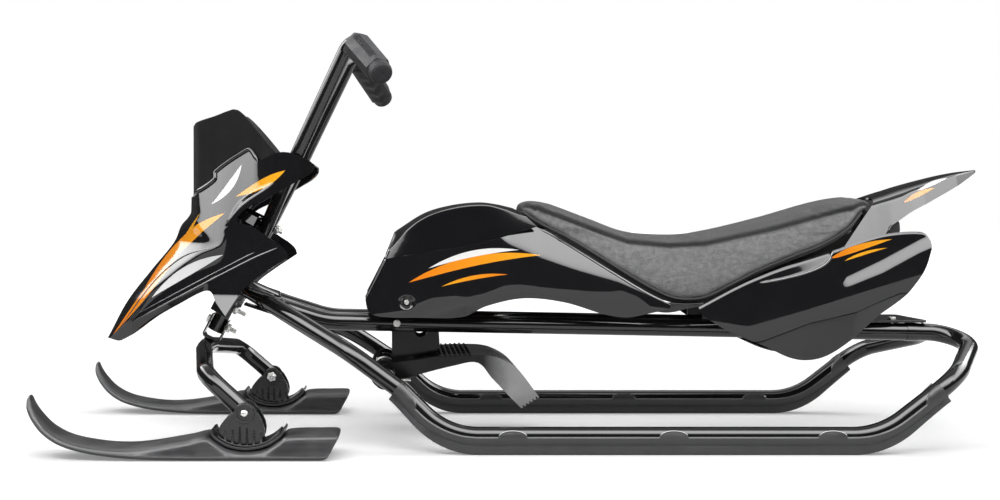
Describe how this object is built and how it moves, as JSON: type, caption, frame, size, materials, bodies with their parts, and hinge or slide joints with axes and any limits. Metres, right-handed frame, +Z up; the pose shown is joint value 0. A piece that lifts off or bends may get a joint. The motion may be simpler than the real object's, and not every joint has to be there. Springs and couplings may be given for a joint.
{
  "type": "steering snow sled",
  "caption": "Ride-on steering snow sled: padded saddle on a tube frame with runners, steered front skis, handlebar, moulded shells and a foot claw brake.",
  "frame": {"origin": "bottom centre of the whole sled's bounding box, on the snow surface under the runner soles", "axes": "+X towards the tail, +Y to the rider's right seen from behind looking at the nose, +Z up"},
  "size_m": [1.1883, 0.494, 0.509],
  "materials": {
    "frame_powder_coat": "gloss",
    "zinc": "satin",
    "spring_steel": "satin",
    "brake_steel": "satin",
    "runner_plastic": "satin",
    "ski_plastic": "satin",
    "bracket_plastic": "satin",
    "shell_gloss_black": "gloss",
    "windshield_plastic": "satin",
    "seat_leather": "satin",
    "seat_base_plastic": "matte",
    "bush_nylon": "matte",
    "grip_rubber": "matte"
  },
  "bodies": {
    "frame": {"head_tube": "frame_powder_coat", "lower_steering_bush": "bush_nylon", "upper_steering_bush": "bush_nylon", "runner_tube_left": "frame_powder_coat", "runner_tube_right": "frame_powder_coat", "seat_rail_left": "frame_powder_coat", "seat_rail_right": "frame_powder_coat", "runner_sheath_left": "runner_plastic", "runner_sheath_right": "runner_plastic", "brake_cross_tube": "frame_powder_coat", "front_cross_plate": "frame_powder_coat", "rear_cross_plate": "frame_powder_coat", "hanger_plate_left": "frame_powder_coat", "hanger_plate_right": "frame_powder_coat", "hanger_bolt_left": "zinc", "hanger_bolt_right": "zinc", "brake_return_spring": "spring_steel", "tank_side_shell_left": "shell_gloss_black", "tank_side_shell_right": "shell_gloss_black", "tank_top_cover": "shell_gloss_black", "tank_front_panel": "shell_gloss_black", "seat_cushion": "seat_leather", "seat_base": "seat_base_plastic", "seat_support_left": "seat_base_plastic", "seat_support_right": "seat_base_plastic", "rear_side_panel_left": "shell_gloss_black", "rear_side_panel_right": "shell_gloss_black", "tail_cowl": "shell_gloss_black", "body_bracket": "frame_powder_coat", "shell_screw_left": "zinc", "shell_screw_right": "zinc"},
    "steering": {"steering_column": "frame_powder_coat", "fork_bolt": "zinc", "fork_nut": "zinc", "lower_fairing_bolt": "zinc", "lower_fairing_nut": "zinc", "upper_fairing_bolt": "zinc", "upper_fairing_nut": "zinc", "fork_yoke": "frame_powder_coat", "ski_fork": "frame_powder_coat", "handlebar_left": "frame_powder_coat", "handlebar_right": "frame_powder_coat", "grip_left": "grip_rubber", "grip_right": "grip_rubber", "fairing": "shell_gloss_black", "windshield": "windshield_plastic", "lower_fairing_bracket": "frame_powder_coat", "upper_fairing_bracket": "frame_powder_coat"},
    "left_ski": {"ski_left": "ski_plastic", "ski_bracket_left": "bracket_plastic", "ski_pivot_bolt_left": "zinc", "ski_pivot_nut_left": "zinc"},
    "right_ski": {"ski_right": "ski_plastic", "ski_bracket_right": "bracket_plastic", "ski_pivot_bolt_right": "zinc", "ski_pivot_nut_right": "zinc"},
    "brake": {"brake_pedal": "brake_steel"}
  },
  "joints": [
    {"name": "steering_hinge", "type": "hinge", "parent": "frame", "child": "steering", "pos_m": [-0.3995, 0, 0.1319], "axis": [0.454, 0, 0.891], "range_deg": [-25, 25]},
    {"name": "left_ski_pivot", "type": "hinge", "parent": "steering", "child": "left_ski", "pos_m": [-0.3393, -0.205, 0.0519], "axis": [0, 1, 0], "range_deg": [-15, 15]},
    {"name": "right_ski_pivot", "type": "hinge", "parent": "steering", "child": "right_ski", "pos_m": [-0.3393, 0.205, 0.0519], "axis": [0, 1, 0], "range_deg": [-15, 15]},
    {"name": "brake_hinge", "type": "hinge", "parent": "frame", "child": "brake", "pos_m": [-0.1765, 0, 0.083], "axis": [0, 1, 0], "range_deg": [0, 17], "stiffness_Nm_per_rad": 2, "springref_deg": -34.38}
  ]
}
